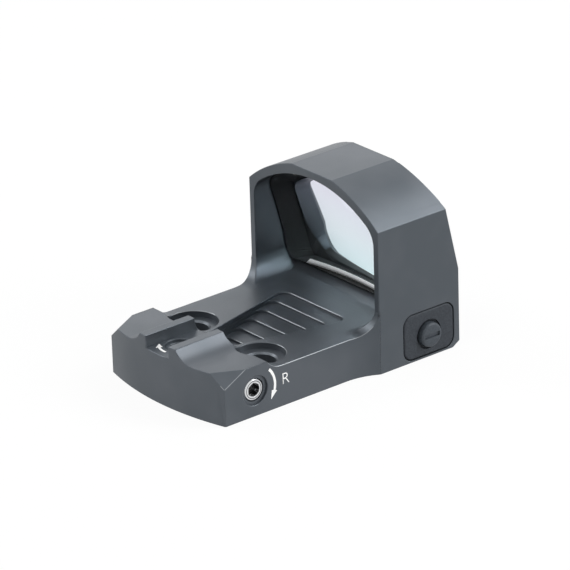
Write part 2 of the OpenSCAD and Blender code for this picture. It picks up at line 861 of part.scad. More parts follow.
// A frame on the emitter's face, with z out along its beam
module at_beam() {
    translate([0, holder_front_y - 0.1, led_z]) rotate([led_deg - 90, 0, 0]) children();
}

module emitter_holder() {
    top_z = holder_z + holder_h;
    color("#3a3c40") difference() {
        block([-holder_w / 2, holder_back_y, holder_z], [holder_w / 2, holder_front_y, top_z]);
        block([-holder_w, holder_back_y - over, rib_z - run_gap],
            [holder_w, plate_front_y + rib_t + run_gap, rib_z + rib_h + run_gap]);
        block([tongue_x - run_gap, holder_back_y - over, holder_z - over],
            [tongue_x + nut_tongue_w + run_gap, plate_front_y + nut_tongue_len + run_gap, top_z + over]);
        at_beam() translate([-beam_room, -beam_room, 0]) cube([2 * beam_room, 2 * beam_room, beam_rise]);
    }
}

module emitter() {
    color("#e8e4d6") at_beam() translate([-led_w / 2, -led_h / 2, 0]) cube([led_w, led_h, led_t]);
}

module emitter_mask() {
    color("#1a1a1c") at_beam() translate([0, 0, led_t]) difference() {
        translate([-led_w / 2, -led_h / 2, 0]) cube([led_w, led_h, mask_t]);
        translate([0, 0, -1]) cylinder(d = pinhole_d, h = 2, $fn = 24);
    }
}

// The flat cable: under the board, along the bay ceiling, down its rear wall and back
// through the channel to a slack end under the emitter holder
module emitter_flex() {
    top = bay_top - 0.03;
    drop_y = bay_y - bay_r - 0.5;
    low = channel_floor + 0.75;
    start_y = board_y - board_w / 2 + 0.7;
    end_y = holder_back_y + 0.5;
    dip = holder_z - adjust_travel - 0.05 - flex_t;
    color("#b5762a") along_x(-flex_w / 2, flex_w) {
        translate([start_y - 0.9, top - flex_t]) square([0.9, flex_t]);
        translate([drop_y, top - flex_t]) square([start_y - 0.8 - drop_y, flex_t]);
        translate([drop_y, low]) square([flex_t, top - low]);
        translate([chamber_front_y, low]) square([drop_y + flex_t - chamber_front_y, flex_t]);
        translate([chamber_front_y, dip]) square([flex_t, low + flex_t - dip]);
        translate([end_y, dip]) square([chamber_front_y + flex_t - end_y, flex_t]);
    }
}

// ---- board, switches and contacts ----

module circuit_board() {
    color("#1f5a3a") translate([0, board_y, board_z + board_t / 2])
        cube([board_len, board_w, board_t], center = true);
}

module control_chip() {
    color("#1c1d1f") translate([0, board_y, board_z + board_t + chip_t / 2])
        cube([chip_w, chip_w, chip_t], center = true);
}

module side_switch(side) {
    low_z = key_z - switch_h / 2;
    color("#2a2c30") on_side(side) difference() {
        block([switch_x, pad_y - switch_w / 2, low_z],
            [switch_x + switch_len, pad_y + switch_w / 2, board_z]);
        bar_x(switch_x + 0.6, 5, plunger_r + run_gap, pad_y, key_z);
    }
}

module side_plunger(side) {
    start_x = switch_x + 0.7 + key_travel;
    color("#d8d2c4") on_side(side)
        bar_x(start_x, key_back_x - start_x, plunger_r, pad_y, key_z);
}

module left_switch() side_switch(-1);
module right_switch() side_switch(1);
module left_plunger() side_plunger(-1);
module right_plunger() side_plunger(1);

module negative_contact() {
    back_y = board_y - board_w / 2 + 0.3;
    tip_y = back_y - contact_reach;
    color("#d6b25e") along_x(contact_x, contact_w)
        polygon([[back_y + 2, board_z], [back_y + 2, board_z - contact_t],
            [back_y, board_z - contact_t], [tip_y + 0.8, cell_top + 0.02],
            [tip_y, cell_top + 0.02], [tip_y, cell_top + 0.02 + contact_t],
            [tip_y + 0.9, cell_top + 0.02 + contact_t], [back_y - 0.1, board_z]]);
}

module positive_contact() {
    front = bay_y + cell_d / 2 + 0.05;
    color("#d6b25e") along_x(-contact_w / 2, contact_w) {
        translate([front, cell_z + 0.3]) square([contact_t, bay_top - cell_z - 0.33]);
        translate([front - 1.2, board_z - contact_t]) square([1.25, contact_t]);
    }
}

// ---- buttons ----

module button_pad(side) {
    inner_x = recess_x + 0.05;
    face_x = hood_w / 2;
    color("#35393e") on_side(side) difference() {
        translate([inner_x, pad_y, pad_z]) rotate([90, 0, 90])
            linear_extrude(face_x - inner_x) rounded_rect(pad_w, pad_h, pad_r);
        bar_x(0, hood_w, key_d / 2 + run_gap, pad_y, key_z);
        bar_x(face_x - moat_depth, 2, key_d / 2 + moat_w, pad_y, key_z);
        bar_x(0, key_back_x + flange_t + run_gap, flange_r + run_gap, pad_y, key_z);
    }
}

// One key, with a plus or a minus cut in its face
module button_key(side, plus) {
    len = hood_w / 2 + key_proud - key_back_x;
    edge = 0.35;
    bar = key_d - 2 * mark_margin;
    half_w = mark_w / 2;
    color("#3f4449") on_side(side) translate([key_back_x, pad_y, key_z]) difference() {
        rotate([0, 90, 0]) rotate_extrude() {
            square([flange_r, flange_t]);
            square([key_d / 2, len - edge]);
            square([key_d / 2 - edge, len]);
            translate([key_d / 2 - edge, len - edge]) circle(edge, $fn = 32);
        }
        block([len - mark_depth, -bar / 2, -half_w], [len + 1, bar / 2, half_w]);
        if (plus) block([len - mark_depth, -half_w, -bar / 2], [len + 1, half_w, bar / 2]);
    }
}

module left_button_pad() button_pad(-1);
module right_button_pad() button_pad(1);
module left_button_key() button_key(-1, true);
module right_button_key() button_key(1, false);

// ---- coin cell and battery cap ----

module cell_can() {
    color("#c4c7ca") translate([0, bay_y, cell_z]) difference() {
        cylinder(d = cell_d, h = cell_t - 0.2, $fn = 128);
        translate([0, 0, 0.25]) cylinder(d = cell_d - 1.3, h = cell_t, $fn = 128);
    }
}

module cell_gasket() {
    color("#2b2b2d") translate([0, bay_y, cell_z + 0.25]) difference() {
        cylinder(d = cell_d - 1.3, h = cell_t - 0.35, $fn = 128);
        translate([0, 0, -1]) cylinder(d = cell_d - 2.2, h = cell_t + 1, $fn = 128);
    }
}

module cell_lid() {
    color("#d3d5d7") translate([0, bay_y, cell_z + 0.3])
        cylinder(d = cell_d - 2.2, h = cell_t - 0.3, $fn = 128);
}

module battery_cap() {
    color("#54585d") translate([0, bay_y, cap_z]) difference() {
        cylinder(d = cap_d, h = cap_t, $fn = 128);
        translate([0, 0, groove_z - cap_z - groove_h / 2]) difference() {
            cylinder(d = cap_d + 1, h = groove_h, $fn = 128);
            translate([0, 0, -1]) cylinder(r = groove_r - run_gap, h = groove_h + 2, $fn = 128);
        }
        translate([-slot_len / 2, -slot_w / 2, -1]) cube([slot_len, slot_w, 1 + slot_depth]);
    }
}

module battery_cap_oring() {
    color("#17181a") translate([0, bay_y, groove_z]) rotate_extrude($fn = 128)
        translate([groove_r + cap_oring_d / 2, 0]) circle(d = cap_oring_d, $fn = 32);
}

// ---- bottom cover ----

module bottom_cover() {
    color("#54585d") difference() {
        translate([0, 0, 0.02]) linear_extrude(cover_t - 0.02) cover_plan(lie_gap);
        for (s = [-1, 1], y = cover_screw_ys) translate([s * cover_screw_x, y, 0]) {
            translate([0, 0, -1]) cylinder(d = cover_thread_d + 0.1, h = 3);
            translate([0, 0, -1]) cylinder(d = cover_head_d + 0.1, h = 1.02 + cover_head_h);
        }
    }
}

module cover_gasket() {
    color("#1d1e20") difference() {
        translate([0, 0, cover_t]) linear_extrude(gasket_t) cover_plan(lie_gap);
        block([-chamber_w / 2, chamber_back_y, 0], [chamber_w / 2, opening_y, 2]);
        block([-channel_w / 2, chamber_back_y, 0], [channel_w / 2, cover_tongue_y, 2]);
        for (s = [-1, 1], y = cover_screw_ys) translate([s * cover_screw_x, y, 0])
            cylinder(d = cover_thread_d + 0.1, h = 3);
    }
}

module cover_screws() {
    color("#a3a6aa") for (s = [-1, 1], y = cover_screw_ys)
        translate([s * cover_screw_x, y, 0.02]) difference() {
            union() {
                cylinder(d = cover_head_d, h = cover_head_h);
                cylinder(d = cover_thread_d - 0.04, h = cover_screw_len);
            }
            translate([0, 0, -over]) cylinder(d = cover_socket_d, h = over + cover_socket_depth, $fn = 6);
        }
}

housing();
lens_rear_element();
lens_front_element();
lens_seal();
windage_screw();
windage_clip();
windage_oring();
windage_nut();
windage_spring();
elevation_screw();
elevation_clip();
elevation_oring();
elevation_slider();
elevation_spring();
emitter_holder();
emitter();
emitter_mask();
emitter_flex();
circuit_board();
control_chip();
left_switch();
right_switch();
left_plunger();
right_plunger();
left_button_pad();
right_button_pad();
left_button_key();
right_button_key();
negative_contact();
positive_contact();
cell_can();
cell_gasket();
cell_lid();
battery_cap();
battery_cap_oring();
bottom_cover();
cover_gasket();
cover_screws();
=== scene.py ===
import math
import bmesh
import bpy
from mathutils import Euler, Matrix, Vector
from mathutils.bvhtree import BVHTree


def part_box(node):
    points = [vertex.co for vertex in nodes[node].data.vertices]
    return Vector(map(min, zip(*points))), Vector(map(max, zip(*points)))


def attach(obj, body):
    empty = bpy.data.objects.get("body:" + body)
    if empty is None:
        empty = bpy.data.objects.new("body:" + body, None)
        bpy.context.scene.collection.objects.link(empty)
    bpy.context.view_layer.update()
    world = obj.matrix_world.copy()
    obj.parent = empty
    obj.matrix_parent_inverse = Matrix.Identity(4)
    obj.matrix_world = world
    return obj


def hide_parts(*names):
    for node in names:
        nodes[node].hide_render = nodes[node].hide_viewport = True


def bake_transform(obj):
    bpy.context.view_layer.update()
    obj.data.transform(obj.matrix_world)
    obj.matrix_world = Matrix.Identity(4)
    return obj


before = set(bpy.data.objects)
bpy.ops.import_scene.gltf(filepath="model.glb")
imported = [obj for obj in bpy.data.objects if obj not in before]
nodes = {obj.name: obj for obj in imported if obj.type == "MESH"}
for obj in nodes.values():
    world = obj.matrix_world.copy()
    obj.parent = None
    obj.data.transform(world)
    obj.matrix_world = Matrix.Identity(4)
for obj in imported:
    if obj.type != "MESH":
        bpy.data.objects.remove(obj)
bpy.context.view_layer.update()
print("frame loaded:", len(nodes), "nodes")

mm = 0.001

# places that the housing is built round, as in the CAD
windageAxis = (0, -13.8 * mm, 3.65 * mm)
elevationAxis = (0, -16.7 * mm, 0)
keyAxis = {"y": 15.25 * mm, "z": 3.3 * mm}
mountHole = {"x": 7.1, "y": -8.9, "counterbore": 3.5}   # in mm
deckZ, ridgeX, hoodX = 5.9, 4.15, 13.4   # in mm

# ---- camera ----

view = {
    "target": (1.076 * mm, 0.600 * mm, 10.958 * mm),
    "distance": 695.8 * mm,
    "azimuth": 50.95,      # 0 looks along +Y
    "elevation": 23.69,
    "roll": -1.768,
    "lens": 328.35,
    "sensorWidth": 36.0,
    "clipStart": 0.01,
    "clipEnd": 20,
}


def makeCamera():
    azimuth = math.radians(view["azimuth"])
    elevation = math.radians(view["elevation"])
    away = Vector((math.sin(azimuth) * math.cos(elevation),
                   -math.cos(azimuth) * math.cos(elevation),
                   math.sin(elevation)))
    turn = away.to_track_quat("Z", "Y") @ Euler((0, 0, math.radians(view["roll"]))).to_quaternion()
    data = bpy.data.cameras.new("photoCamera")
    data.lens = view["lens"]
    data.sensor_width = view["sensorWidth"]
    data.sensor_fit = "AUTO"
    data.clip_start = view["clipStart"]
    data.clip_end = view["clipEnd"]
    camera = bpy.data.objects.new("photoCamera", data)
    place = Vector(view["target"]) + away * view["distance"]
    camera.matrix_world = Matrix.Translation(place) @ turn.to_matrix().to_4x4()
    bpy.context.scene.collection.objects.link(camera)
    bpy.context.scene.camera = camera
    bpy.context.view_layer.update()
    return camera


camera = makeCamera()

# ---- image points, in the photo's frame of 570 by 570 ----

frameSize = 570
imagePoints = {
    "leftEdge": ("x", 111.0),
    "rightEdge": ("x", 462.0),
    "topEdge": ("y", 141.0),
    "bottomEdge": ("y", 427.4),
    "rearRightFoot": (225.6, 427.4),
    "rearLeftFoot": (113.0, 372.0),
    "hoodRightRearCorner": (378.5, 232.2),
    "hoodRightFrontCorner": (445.9, 209.5),
    "hoodLeftRearCorner": (249.3, 177.5),
    "hoodRidgeLeftFront": (354.0, 141.2),
    "windageScrew": (253.5, 389.5),
    "rightMountHole": (262.0, 352.0),
    "letterR": (285.5, 378.5),
    "arcArrow": (272.5, 383.5),
    "notchArrow": (160.0, 348.8),
    "rightKey": (431.5, 334.3),
}


def pixelRay(x, y):
    # the way from the camera through a point of the photo's frame
    half = frameSize / 2
    aim = Vector((x - half, half - y, -frameSize * view["lens"] / view["sensorWidth"]))
    world = camera.matrix_world
    return world.translation.copy(), (world.to_3x3() @ aim).normalized()


def toPixel(point):
    local = camera.matrix_world.inverted() @ Vector(point)
    scale = frameSize * view["lens"] / view["sensorWidth"] / -local.z
    half = frameSize / 2
    return half + local.x * scale, half - local.y * scale


def placeOn(obj, x, y):
    # where the ray through an image point meets an object as finished and placed; a miss takes
    # the place on it nearest the ray
    start, way = pixelRay(x, y)
    done = obj.evaluated_get(bpy.context.evaluated_depsgraph_get())
    mesh = done.to_mesh()
    corners = [done.matrix_world @ v.co for v in mesh.vertices]
    tree = BVHTree.FromPolygons(corners, [p.vertices[:] for p in mesh.polygons])
    spot = tree.ray_cast(start, way)[0]
    if spot is None:
        spot = min(corners, key=lambda c: (c - start - way * (c - start).dot(way)).length)
    done.to_mesh_clear()
    return spot


# ---- materials ----


def hexColour(text):
    parts = [int(text[i:i + 2], 16) / 255 for i in (1, 3, 5)]
    linear = [p / 12.92 if p <= 0.04045 else ((p + 0.055) / 1.055) ** 2.4 for p in parts]
    return (*linear, 1.0)


def addNode(material, kind, settings=None, values=None, links=None):
    # one node with its settings, its socket values and its incoming links
    node = material.node_tree.nodes.new(kind)
    for name, value in (settings or {}).items():
        setattr(node, name, value)
    for name, value in (values or {}).items():
        node.inputs[name].default_value = value
    for name, source in (links or {}).items():
        material.node_tree.links.new(source, node.inputs[name])
    return node


def newMaterial(name):
    material = bpy.data.materials.new(name)
    material.use_nodes = True
    material.node_tree.nodes.clear()
    return material


def finish(material, shader):
    output = addNode(material, "ShaderNodeOutputMaterial")
    material.node_tree.links.new(shader.outputs[0], output.inputs["Surface"])
    return material


def mixedColour(material, factor, low, high, fromMin=0.35, fromMax=0.65):
    # a colour between two hex values, driven by a pattern
    ramp = addNode(material, "ShaderNodeValToRGB", links={"Fac": factor})
    ramp.color_ramp.elements[0].position = fromMin
    ramp.color_ramp.elements[0].color = hexColour(low)
    ramp.color_ramp.elements[1].position = fromMax
    ramp.color_ramp.elements[1].color = hexColour(high)
    return ramp.outputs["Color"]


anodised = {"low": "#4b5157", "high": "#555a60", "grain": 0.22 * mm, "cloud": 9 * mm, "metallic": 0.6,
            "roughness": 0.42, "smoother": 0.05, "rougher": 0.06, "bump": 0.10, "bumpHeight": 0.02 * mm}


def anodisedAluminium(name, low, high, roughness, grain=anodised["grain"]):
    # hard anodised aluminium, bead blasted before the bath: dark grey, satin, with a fine even
    # grit. The real grit is about 0.05 mm; it is drawn four times coarser to show at all.
    material = newMaterial(name)
    where = addNode(material, "ShaderNodeTexCoord").outputs["Object"]
    grit = addNode(material, "ShaderNodeTexNoise",
                   values={"Scale": 1 / grain, "Detail": 3, "Roughness": 0.6}, links={"Vector": where})
    cloud = addNode(material, "ShaderNodeTexNoise", values={"Scale": 1 / anodised["cloud"], "Detail": 2},
                    links={"Vector": where})
    colour = mixedColour(material, cloud.outputs["Fac"], low, high)
    rough = addNode(material, "ShaderNodeMapRange",
                    values={"To Min": roughness - anodised["smoother"],
                            "To Max": roughness + anodised["rougher"]},
                    links={"Value": grit.outputs["Fac"]})
    bump = addNode(material, "ShaderNodeBump",
                   values={"Strength": anodised["bump"], "Distance": anodised["bumpHeight"]},
                   links={"Height": grit.outputs["Fac"]})
    shader = addNode(material, "ShaderNodeBsdfPrincipled", values={"Metallic": anodised["metallic"]},
                     links={"Base Color": colour, "Roughness": rough.outputs["Result"],
                            "Normal": bump.outputs["Normal"]})
    return finish(material, shader)


turned = {"mottle": 0.3 * mm, "bump": 0.03, "bumpHeight": 0.01 * mm}


def turnedSteel(name, tint, roughness):
    # a plated or turned metal with the faint mottle that tumbling leaves on small parts
    material = newMaterial(name)
    where = addNode(material, "ShaderNodeTexCoord").outputs["Object"]
    mottle = addNode(material, "ShaderNodeTexNoise", values={"Scale": 1 / turned["mottle"], "Detail": 4},
                     links={"Vector": where})
    colour = mixedColour(material, mottle.outputs["Fac"], tint[0], tint[1])
    bump = addNode(material, "ShaderNodeBump",
                   values={"Strength": turned["bump"], "Distance": turned["bumpHeight"]},
                   links={"Height": mottle.outputs["Fac"]})
    shader = addNode(material, "ShaderNodeBsdfPrincipled", values={"Metallic": 1.0, "Roughness": roughness},
                     links={"Base Color": colour, "Normal": bump.outputs["Normal"]})
    return finish(material, shader)


socketLook = {
    # distance from the screw's axis: socket painted black as shade, face, turned groove painted dark as
    # shade, edge
    "reach": 1.70 * mm,
    "metalFrom": (0.90 * mm, 0.97 * mm),
    "stops": ((0.00, "#0a0b0c"), (0.90, "#0a0b0c"), (0.97, "#cfd1d3"), (1.14, "#e4e5e6"),
              (1.18, "#4c4f52"), (1.25, "#4c4f52"), (1.30, "#dcdddf"), (1.60, "#c4c6c8")),
    "groovePitch": 0.28 * mm,
    "bump": 0.35,
    "bumpHeight": 0.02 * mm,
}


def socketSteel(name, roughness, centre, axis):
    # nickel plated steel whose hex socket is painted black, a painted shade for the recess, with a fine
    # turned groove round it painted dark as shade. The distance from the screw's axis picks them out.
    material = newMaterial(name)
    where = addNode(material, "ShaderNodeTexCoord").outputs["Object"]
    flat = [0.0 if axis[i] else 1.0 for i in range(3)]
    offset = addNode(material, "ShaderNodeMapping",
                     values={"Location": tuple(-c * f for c, f in zip(centre, flat)), "Scale": tuple(flat)},
                     links={"Vector": where})
    away = addNode(material, "ShaderNodeVectorMath", {"operation": "LENGTH"})
    material.node_tree.links.new(offset.outputs[0], away.inputs[0])
    share = addNode(material, "ShaderNodeMapRange", values={"From Max": socketLook["reach"]},
                    links={"Value": away.outputs["Value"]})
    ramp = addNode(material, "ShaderNodeValToRGB", links={"Fac": share.outputs["Result"]})
    stops = [(at * mm / socketLook["reach"], tint) for at, tint in socketLook["stops"]]
    for element, (at, tint) in zip(ramp.color_ramp.elements, (stops[0], stops[-1])):
        element.position, element.color = at, hexColour(tint)
    for at, tint in stops[1:-1]:
        ramp.color_ramp.elements.new(at).color = hexColour(tint)
    metal = addNode(material, "ShaderNodeMapRange",
                    values={"From Min": socketLook["metalFrom"][0], "From Max": socketLook["metalFrom"][1]},
                    links={"Value": away.outputs["Value"]})
    turns = addNode(material, "ShaderNodeMath", {"operation": "MULTIPLY"})
    material.node_tree.links.new(away.outputs["Value"], turns.inputs[0])
    turns.inputs[1].default_value = 2 * math.pi / socketLook["groovePitch"]
    rings = addNode(material, "ShaderNodeMath", {"operation": "SINE"})
    material.node_tree.links.new(turns.outputs[0], rings.inputs[0])
    bump = addNode(material, "ShaderNodeBump",
                   values={"Strength": socketLook["bump"], "Distance": socketLook["bumpHeight"]},
                   links={"Height": rings.outputs[0]})
    shader = addNode(material, "ShaderNodeBsdfPrincipled", values={"Roughness": roughness},
                     links={"Base Color": ramp.outputs["Color"], "Metallic": metal.outputs["Result"],
                            "Normal": bump.outputs["Normal"]})
    return finish(material, shader)


mouldedBump = 0.15


def mouldedStuff(name, tint, roughness, grain, bumpHeight, specular=0.5):
    # a moulded surface with a fine grain: rubber, nylon, epoxy or sealant
    material = newMaterial(name)
    where = addNode(material, "ShaderNodeTexCoord").outputs["Object"]
    grit = addNode(material, "ShaderNodeTexNoise", values={"Scale": 1 / grain, "Detail": 3},
                   links={"Vector": where})
    colour = mixedColour(material, grit.outputs["Fac"], tint[0], tint[1])
    bump = addNode(material, "ShaderNodeBump", values={"Strength": mouldedBump, "Distance": bumpHeight},
                   links={"Height": grit.outputs["Fac"]})
    shader = addNode(material, "ShaderNodeBsdfPrincipled",
                     values={"Roughness": roughness, "Specular IOR Level": specular},
                     links={"Base Color": colour, "Normal": bump.outputs["Normal"]})
    return finish(material, shader)


coated = {"ior": 1.5, "top": "#f3f0ff", "middle": "#eef8ff", "bottom": "#dffbff", "middleAt": 0.45,
          "lowZ": 7.0 * mm, "highZ": 24.2 * mm}


def coatedGlass(name):
    # optical crown glass with a dichroic coating: lavender at the top, pale cyan towards the sill
    material = newMaterial(name)
    where = addNode(material, "ShaderNodeTexCoord").outputs["Object"]
    height = addNode(material, "ShaderNodeSeparateXYZ", links={"Vector": where})
    share = addNode(material, "ShaderNodeMapRange",
                    values={"From Min": coated["lowZ"], "From Max": coated["highZ"]},
                    links={"Value": height.outputs["Z"]})
    ramp = addNode(material, "ShaderNodeValToRGB", links={"Fac": share.outputs["Result"]})
    ramp.color_ramp.elements[0].color = hexColour(coated["bottom"])
    ramp.color_ramp.elements[1].color = hexColour(coated["top"])
    ramp.color_ramp.elements.new(coated["middleAt"]).color = hexColour(coated["middle"])
    shader = addNode(material, "ShaderNodeBsdfPrincipled",
                     values={"Roughness": 0.0, "IOR": coated["ior"], "Transmission Weight": 1.0},
                     links={"Base Color": ramp.outputs["Color"]})
    return finish(material, shader)


def paleStuff(name, tint, grain, roughness):
    # a white surface with a faint grain and no bump
    material = newMaterial(name)
    where = addNode(material, "ShaderNodeTexCoord").outputs["Object"]
    grit = addNode(material, "ShaderNodeTexNoise", values={"Scale": 1 / grain, "Detail": 3},
                   links={"Vector": where})
    colour = mixedColour(material, grit.outputs["Fac"], tint[0], tint[1])
    shader = addNode(material, "ShaderNodeBsdfPrincipled", values={"Roughness": roughness},
                     links={"Base Color": colour})
    return finish(material, shader)


bodyFinish = anodisedAluminium("beadBlastedAnodising", anodised["low"], anodised["high"],
                               anodised["roughness"])
# a lighter anodising for the narrow edge chamfers: painted highlight, not a real change of colour
paintedHighlightFinish = anodisedAluminium("anodisingPaintedEdgeHighlight", "#787c80", "#868a8e", 0.42)
capFinish = anodisedAluminium("turnedAnodising", "#454a50", "#54595f", 0.35)
# both screws have their socket and groove painted dark as shade
windageFinish = socketSteel("windageSteelPaintedSocketShade", 0.25, windageAxis, (1, 0, 0))
elevationFinish = socketSteel("elevationSteelPaintedSocketShade", 0.25, elevationAxis, (0, 0, 1))
screwFinish = turnedSteel("nickelPlatedSteel", ("#b4b6b9", "#d8dadc"), 0.25)
springFinish = turnedSteel("springSteel", ("#9a9da1", "#c2c4c7"), 0.3)
cellFinish = turnedSteel("nickelPlatedCellCan", ("#c6c7c7", "#d2d3d2"), 0.24)
brassFinish = turnedSteel("machinedBrass", ("#b08d45", "#cfae62"), 0.3)
goldFinish = turnedSteel("goldPlatedBronze", ("#c79b3c", "#e2bf66"), 0.25)
padFinish = mouldedStuff("mouldedRubberPad", ("#2e3238", "#383d43"), 0.60, 0.25 * mm, 0.02 * mm, 0.25)
keyFinish = mouldedStuff("mouldedRubberKey", ("#363c42", "#42484f"), 0.50, 0.25 * mm, 0.02 * mm, 0.3)
sealFinish = mouldedStuff("blackSealant", ("#060808", "#0c0e0e"), 0.45, 0.5 * mm, 0.02 * mm, 0.3)
nitrileFinish = mouldedStuff("nitrileRubber", ("#121314", "#1c1d1f"), 0.5, 0.3 * mm, 0.02 * mm)
nylonFinish = mouldedStuff("glassFilledNylon", ("#1d1f22", "#292c30"), 0.5, 0.2 * mm, 0.01 * mm)
boardFinish = mouldedStuff("solderMask", ("#17502f", "#1f6340"), 0.35, 0.6 * mm, 0.01 * mm)
amberFinish = mouldedStuff("polyimideFilm", ("#a5671f", "#c17f30"), 0.35, 0.5 * mm, 0.005 * mm)
paleFinish = mouldedStuff("mouldedAcetal", ("#d5d0c4", "#e6e2d8"), 0.4, 0.4 * mm, 0.01 * mm)
glassFinish = coatedGlass("coatedLensGlass")
edgeFinish = mouldedStuff("blackenedGlassEdge", ("#050606", "#090a0a"), 0.9, 0.5 * mm, 0.01 * mm)
# the ground bevel under the lens: glass ground with grit, so it scatters white
groundFinish = paleStuff("groundGlass", ("#e6eaec", "#f4f6f7"), 0.2 * mm, 0.6)
# white paint wiped into the engraved marks
paintFinish = paleStuff("whitePaintFill", ("#f0f1f0", "#fafaf9"), 0.15 * mm, 0.55)

finishes = {
    "housing": bodyFinish, "bottom_cover": bodyFinish, "battery_cap": capFinish,
    "lens_rear_element": glassFinish, "lens_front_element": glassFinish, "lens_seal": sealFinish,
    "windage_screw": windageFinish, "elevation_screw": elevationFinish, "cover_screws": screwFinish,
    "windage_clip": springFinish, "elevation_clip": springFinish, "windage_spring": springFinish,
    "elevation_spring": springFinish, "elevation_slider": screwFinish, "windage_nut": brassFinish,
    "windage_oring": nitrileFinish, "elevation_oring": nitrileFinish,
    "battery_cap_oring": nitrileFinish, "cover_gasket": nitrileFinish,
    "emitter_holder": nylonFinish, "emitter": paleFinish, "emitter_mask": nylonFinish,
    "emitter_flex": amberFinish, "circuit_board": boardFinish, "control_chip": nylonFinish,
    "left_switch": nylonFinish, "right_switch": nylonFinish,
    "left_plunger": paleFinish, "right_plunger": paleFinish,
    "left_button_pad": padFinish, "right_button_pad": padFinish,
    "left_button_key": keyFinish, "right_button_key": keyFinish,
    "negative_contact": goldFinish, "positive_contact": goldFinish,
    "cell_can": cellFinish, "cell_lid": cellFinish, "cell_gasket": nylonFinish,
}


def paint(obj, material):
    obj.data.materials.clear()
    obj.data.materials.append(material)


for name, material in finishes.items():
    paint(nodes[name], material)
print("materials set")

# ---- what the pieces made here share ----

sharpEdges = {"from": math.radians(30.0), "flatWithin": math.radians(0.5), "bevelSegments": 3}
mergeWithin = 0.001 * mm


def cadBuild(name, flattened=False):
    # a CAD node's mesh with its corners merged, and its flats made one face each where asked
    build = bmesh.new()
    build.from_mesh(nodes[name].data)
    bmesh.ops.remove_doubles(build, verts=build.verts, dist=mergeWithin)
    if flattened:
        bmesh.ops.dissolve_limit(build, angle_limit=sharpEdges["flatWithin"],
                                 verts=build.verts, edges=build.edges)
    return build


def pieceOf(build, name):
    # turns a bmesh into an object of the scene
    mesh = bpy.data.meshes.new(name)
    build.to_mesh(mesh)
    build.free()
    piece = bpy.data.objects.new(name, mesh)
    bpy.context.scene.collection.objects.link(piece)
    return piece


def isSharp(edge):
    return edge.is_manifold and edge.calc_face_angle(0) > sharpEdges["from"]


def breakEdges(piece, width):
    soften = piece.modifiers.new("edgeBreak", "BEVEL")
    soften.width = width
    soften.segments = sharpEdges["bevelSegments"]
    soften.limit_method = "WEIGHT"
    soften.harden_normals = True
    soften.use_clamp_overlap = False


def newVerts(extruded):
    return [g for g in extruded["geom"] if isinstance(g, bmesh.types.BMVert)]


# ---- housing: the CAD mesh with its outer edges broken ----

# the third width is that of the chamfers painted lighter as a highlight
housingLook = {"widest": 0.14 * mm, "outer": 0.12 * mm, "paintedHighlightEdge": 0.06 * mm, "rimChamfer": 0.8 * mm}
# where each kind of edge or face is found: lengths in mm, and shares of a unit normal
# the first table gives where the edges with a painted highlight lie
highlightEdgeWhere = {"stepUp": 0.4, "across": 0.98, "upward": 0.5, "toY": 8, "rimWithin": 0.1, "sideFromX": 11.5,
        "sideWithin": 1.2}
brow = {"strips": 22, "aboveZ": 20.7, "fromX": 4.2, "upward": 0.3, "outward": 0.2, "whole": 0.02,
        "cut": 0.05, "snap": 0.02 * mm}
rim = {"insideX": 12.3, "lowZ": 7.0, "highZ": 24.2, "fromY": 16, "middleZ": 16, "forward": 0.7,
       "across": 0.3}
ridge = {"within": 0.2, "aboveZ": 25.0, "along": 0.9}
black = {"facing": 0.9, "insideX": 13, "lipFromY": 13, "lipAboveZ": 6.5, "sillFromY": 17,
         "sillZ": (6.9, 8.4)}
bodySlot, blackSlot, highlightSlot = range(3)
# the parts of the housing whose edges stay sharp: ranges of |x|, y and z in mm
pocket = ((-1, 6.3), (-12.5, 8.3), (-99, 5.6))
keptSharp = (
    pocket,
    ((-1, 99), (-99, 99), (-99, 0.3)),              # the mounting face
    ((-1, 11.9), (-19.2, 12.2), (-99, 5.8)),        # what lies under the deck
    ((-1, 11.5), (-99, 99), (-99, 5.4)),            # what lies under the hood
    ((-1, 12.6), (11.5, 18.6), (5.5, 25)),          # the window's seat
    ((10.5, 13.35), (10.6, 19.9), (0.2, 7.0)),      # the button pads' pockets
)


def inBox(box, spot):
    return all(low < value < high for (low, high), value in zip(box, spot))


def edgeSpot(edge):
    # the middle of an edge in mm, with x taken on either side
    middle = (edge.verts[0].co + edge.verts[1].co) / 2 / mm
    return abs(middle.x), middle.y, middle.z


def edgeWay(edge):
    return (edge.verts[1].co - edge.verts[0].co).normalized()


def paintedHighlightEdge(edge):
    # the convex edges of the pocket's steps, the deck's sides and the rims of the counterbores. Their
    # narrow chamfers are coloured lighter: a painted highlight for the light these edges catch.
    if not edge.is_manifold or not edge.is_convex or edge.calc_face_angle(0) < sharpEdges["from"]:
        return False
    x, y, z = edgeSpot(edge)
    if inBox(pocket, (x, y, z - highlightEdgeWhere["stepUp"])):
        return abs(edgeWay(edge).x) > highlightEdgeWhere["across"]
    if max(f.normal.z for f in edge.link_faces) < highlightEdgeWhere["upward"] or y > highlightEdgeWhere["toY"]:
        return False
    fromHole = math.hypot(x - mountHole["x"], y - mountHole["y"])
    onHoleRim = max(abs(fromHole - mountHole["counterbore"]), abs(z - deckZ)) < highlightEdgeWhere["rimWithin"]
    onSide = x > highlightEdgeWhere["sideFromX"] and abs(z - deckZ) < highlightEdgeWhere["sideWithin"]
    return onHoleRim or onSide


def edgeBreak(edge):
    # how far each other sharp edge has been rounded, but not the sockets and seats inside
    if not edge.is_convex or any(inBox(box, edgeSpot(edge)) for box in keptSharp):
        return 0.0
    return housingLook["outer"]


def browFaces(build, side, level):
    # the upward faces of one arched brow, those whose normal is within level of the y = 0 plane
    found = []
    for face in build.faces:
        middle, normal = face.calc_center_median(), face.normal
        if (abs(normal.y) < level and normal.z > brow["upward"] and side * normal.x > brow["outward"]
                and side * middle.x > brow["fromX"] * mm and middle.z > brow["aboveZ"] * mm):
            found.append(face)
    return found


